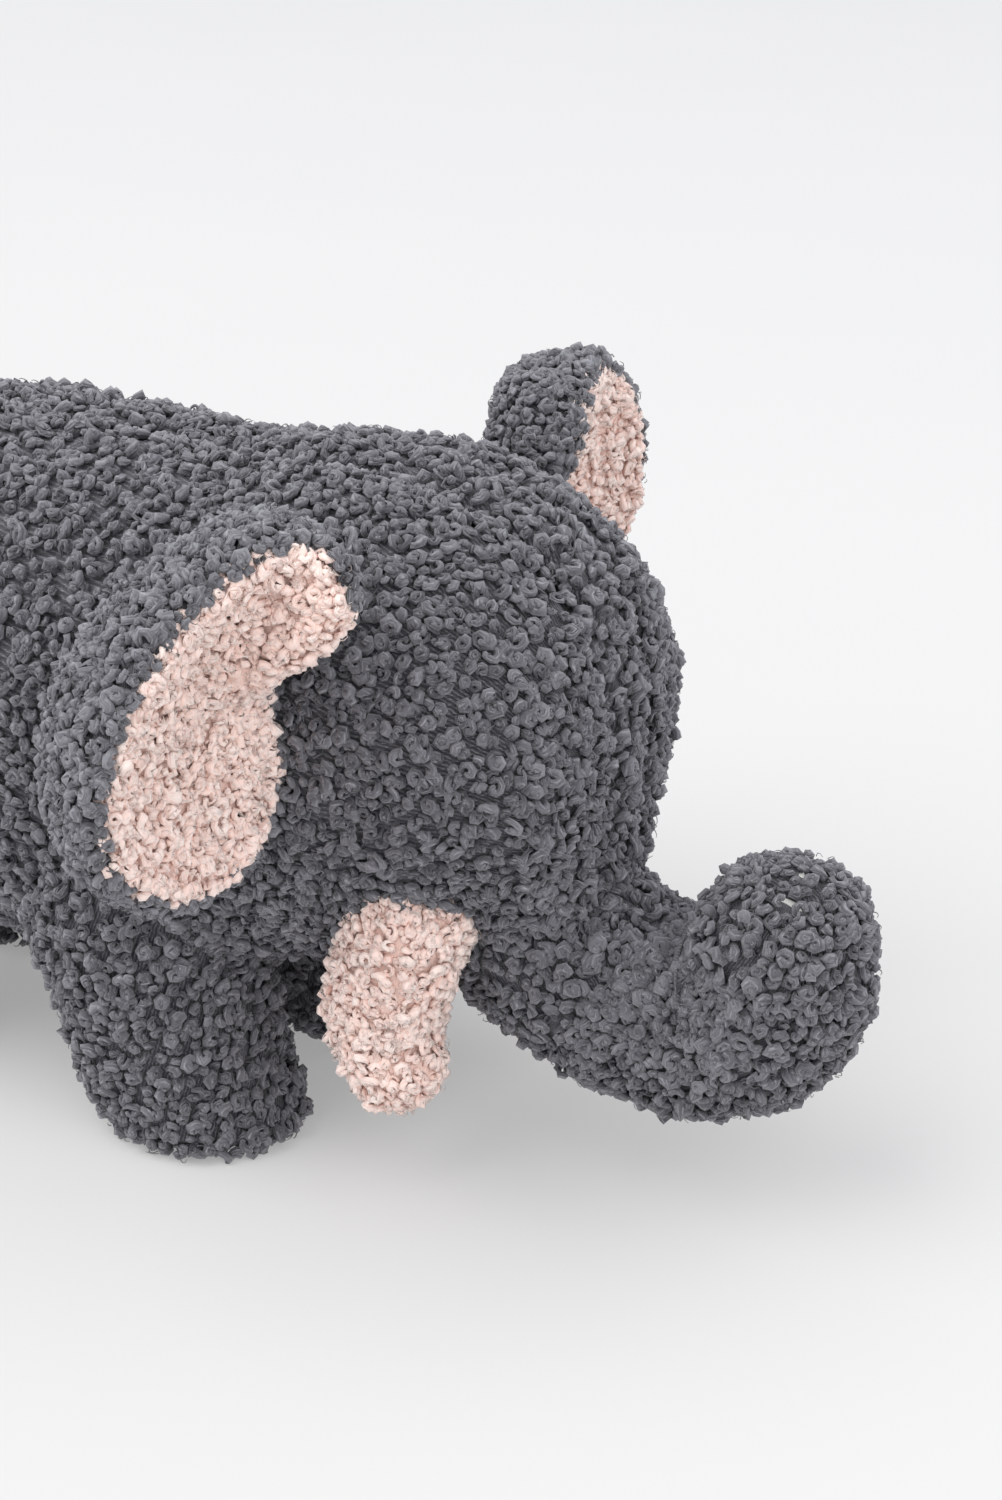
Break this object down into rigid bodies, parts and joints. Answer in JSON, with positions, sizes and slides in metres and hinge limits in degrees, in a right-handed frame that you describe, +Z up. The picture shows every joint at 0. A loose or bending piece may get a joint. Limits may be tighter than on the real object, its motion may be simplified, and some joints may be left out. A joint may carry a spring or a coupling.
{
  "type": "stuffed elephant",
  "caption": "Small stuffed elephant in grey looped plush with pink inner ears and tusks, standing on stub legs with an upturned trunk.",
  "frame": {"origin": "middle of the footprint at floor level, under the centre of the toy's length", "axes": "-Y is the way the face and trunk point, +Z is up, +X is the elephant's left side"},
  "size_m": [0.2747, 0.379, 0.2053],
  "materials": {
    "grey_boucle": "looped pile",
    "pink_boucle": "looped pile",
    "fibre_fill": "loose fibre"
  },
  "bodies": {
    "body": {"body_right_panel": "grey_boucle", "body_left_panel": "grey_boucle", "head_gusset": "grey_boucle", "belly_gusset": "grey_boucle", "body_fill": "fibre_fill"},
    "trunk_base": {"trunk_base_right_panel": "grey_boucle", "trunk_base_left_panel": "grey_boucle", "trunk_base_top_gusset": "grey_boucle", "trunk_base_under_gusset": "grey_boucle", "trunk_base_fill": "fibre_fill"},
    "trunk_tip": {"trunk_tip_right_panel": "grey_boucle", "trunk_tip_left_panel": "grey_boucle", "trunk_tip_under_gusset": "grey_boucle", "trunk_tip_fill": "fibre_fill"},
    "front_right_leg": {"front_right_leg_outer_panel": "grey_boucle", "front_right_leg_inner_panel": "grey_boucle", "front_right_leg_sole": "grey_boucle", "front_right_leg_fill": "fibre_fill"},
    "front_left_leg": {"front_left_leg_outer_panel": "grey_boucle", "front_left_leg_inner_panel": "grey_boucle", "front_left_leg_sole": "grey_boucle", "front_left_leg_fill": "fibre_fill"},
    "rear_right_leg": {"rear_right_leg_outer_panel": "grey_boucle", "rear_right_leg_inner_panel": "grey_boucle", "rear_right_leg_sole": "grey_boucle", "rear_right_leg_fill": "fibre_fill"},
    "rear_left_leg": {"rear_left_leg_outer_panel": "grey_boucle", "rear_left_leg_inner_panel": "grey_boucle", "rear_left_leg_sole": "grey_boucle", "rear_left_leg_fill": "fibre_fill"},
    "right_ear": {"right_ear_back": "grey_boucle", "right_ear_front": "pink_boucle"},
    "left_ear": {"left_ear_back": "grey_boucle", "left_ear_front": "pink_boucle"},
    "right_tusk": {"right_tusk_cover": "pink_boucle", "right_tusk_fill": "fibre_fill"},
    "left_tusk": {"left_tusk_cover": "pink_boucle", "left_tusk_fill": "fibre_fill"},
    "tail": {"tail_cover": "grey_boucle", "tail_fill": "fibre_fill"}
  },
  "joints": [
    {"name": "trunk_lift", "type": "hinge", "parent": "body", "child": "trunk_base", "pos_m": [0, -0.08959, 0.069], "axis": [-1, 0, 0], "range_deg": [-12, 12], "stiffness_Nm_per_rad": 0.4},
    {"name": "trunk_curl", "type": "hinge", "parent": "trunk_base", "child": "trunk_tip", "pos_m": [0, -0.13159, 0.05], "axis": [-1, 0, 0], "range_deg": [-20, 10], "stiffness_Nm_per_rad": 0.25},
    {"name": "front_right_leg_swing", "type": "hinge", "parent": "body", "child": "front_right_leg", "pos_m": [-0.04, 0.01841, 0.062], "axis": [-1, 0, 0], "range_deg": [-12, 12], "stiffness_Nm_per_rad": 0.6},
    {"name": "front_left_leg_swing", "type": "hinge", "parent": "body", "child": "front_left_leg", "pos_m": [0.04, 0.01841, 0.062], "axis": [-1, 0, 0], "range_deg": [-12, 12], "stiffness_Nm_per_rad": 0.6},
    {"name": "rear_right_leg_swing", "type": "hinge", "parent": "body", "child": "rear_right_leg", "pos_m": [-0.04, 0.11741, 0.062], "axis": [-1, 0, 0], "range_deg": [-12, 12], "stiffness_Nm_per_rad": 0.6},
    {"name": "rear_left_leg_swing", "type": "hinge", "parent": "body", "child": "rear_left_leg", "pos_m": [0.04, 0.11741, 0.062], "axis": [-1, 0, 0], "range_deg": [-12, 12], "stiffness_Nm_per_rad": 0.6},
    {"name": "right_ear_fold", "type": "hinge", "parent": "body", "child": "right_ear", "pos_m": [-0.067, -0.03959, 0.142], "axis": [0, 0, 1], "range_deg": [-30, 15], "stiffness_Nm_per_rad": 0.03},
    {"name": "left_ear_fold", "type": "hinge", "parent": "body", "child": "left_ear", "pos_m": [0.067, -0.03959, 0.142], "axis": [0, 0, -1], "range_deg": [-30, 15], "stiffness_Nm_per_rad": 0.03},
    {"name": "right_tusk_tip", "type": "hinge", "parent": "body", "child": "right_tusk", "pos_m": [-0.043, -0.07159, 0.079], "axis": [-1, 0, 0], "range_deg": [-6, 6], "stiffness_Nm_per_rad": 0.05},
    {"name": "left_tusk_tip", "type": "hinge", "parent": "body", "child": "left_tusk", "pos_m": [0.043, -0.07159, 0.079], "axis": [-1, 0, 0], "range_deg": [-6, 6], "stiffness_Nm_per_rad": 0.05},
    {"name": "tail_lift", "type": "hinge", "parent": "body", "child": "tail", "pos_m": [0, 0.16041, 0.127], "axis": [1, 0, 0], "range_deg": [0, 35], "stiffness_Nm_per_rad": 0.02}
  ]
}
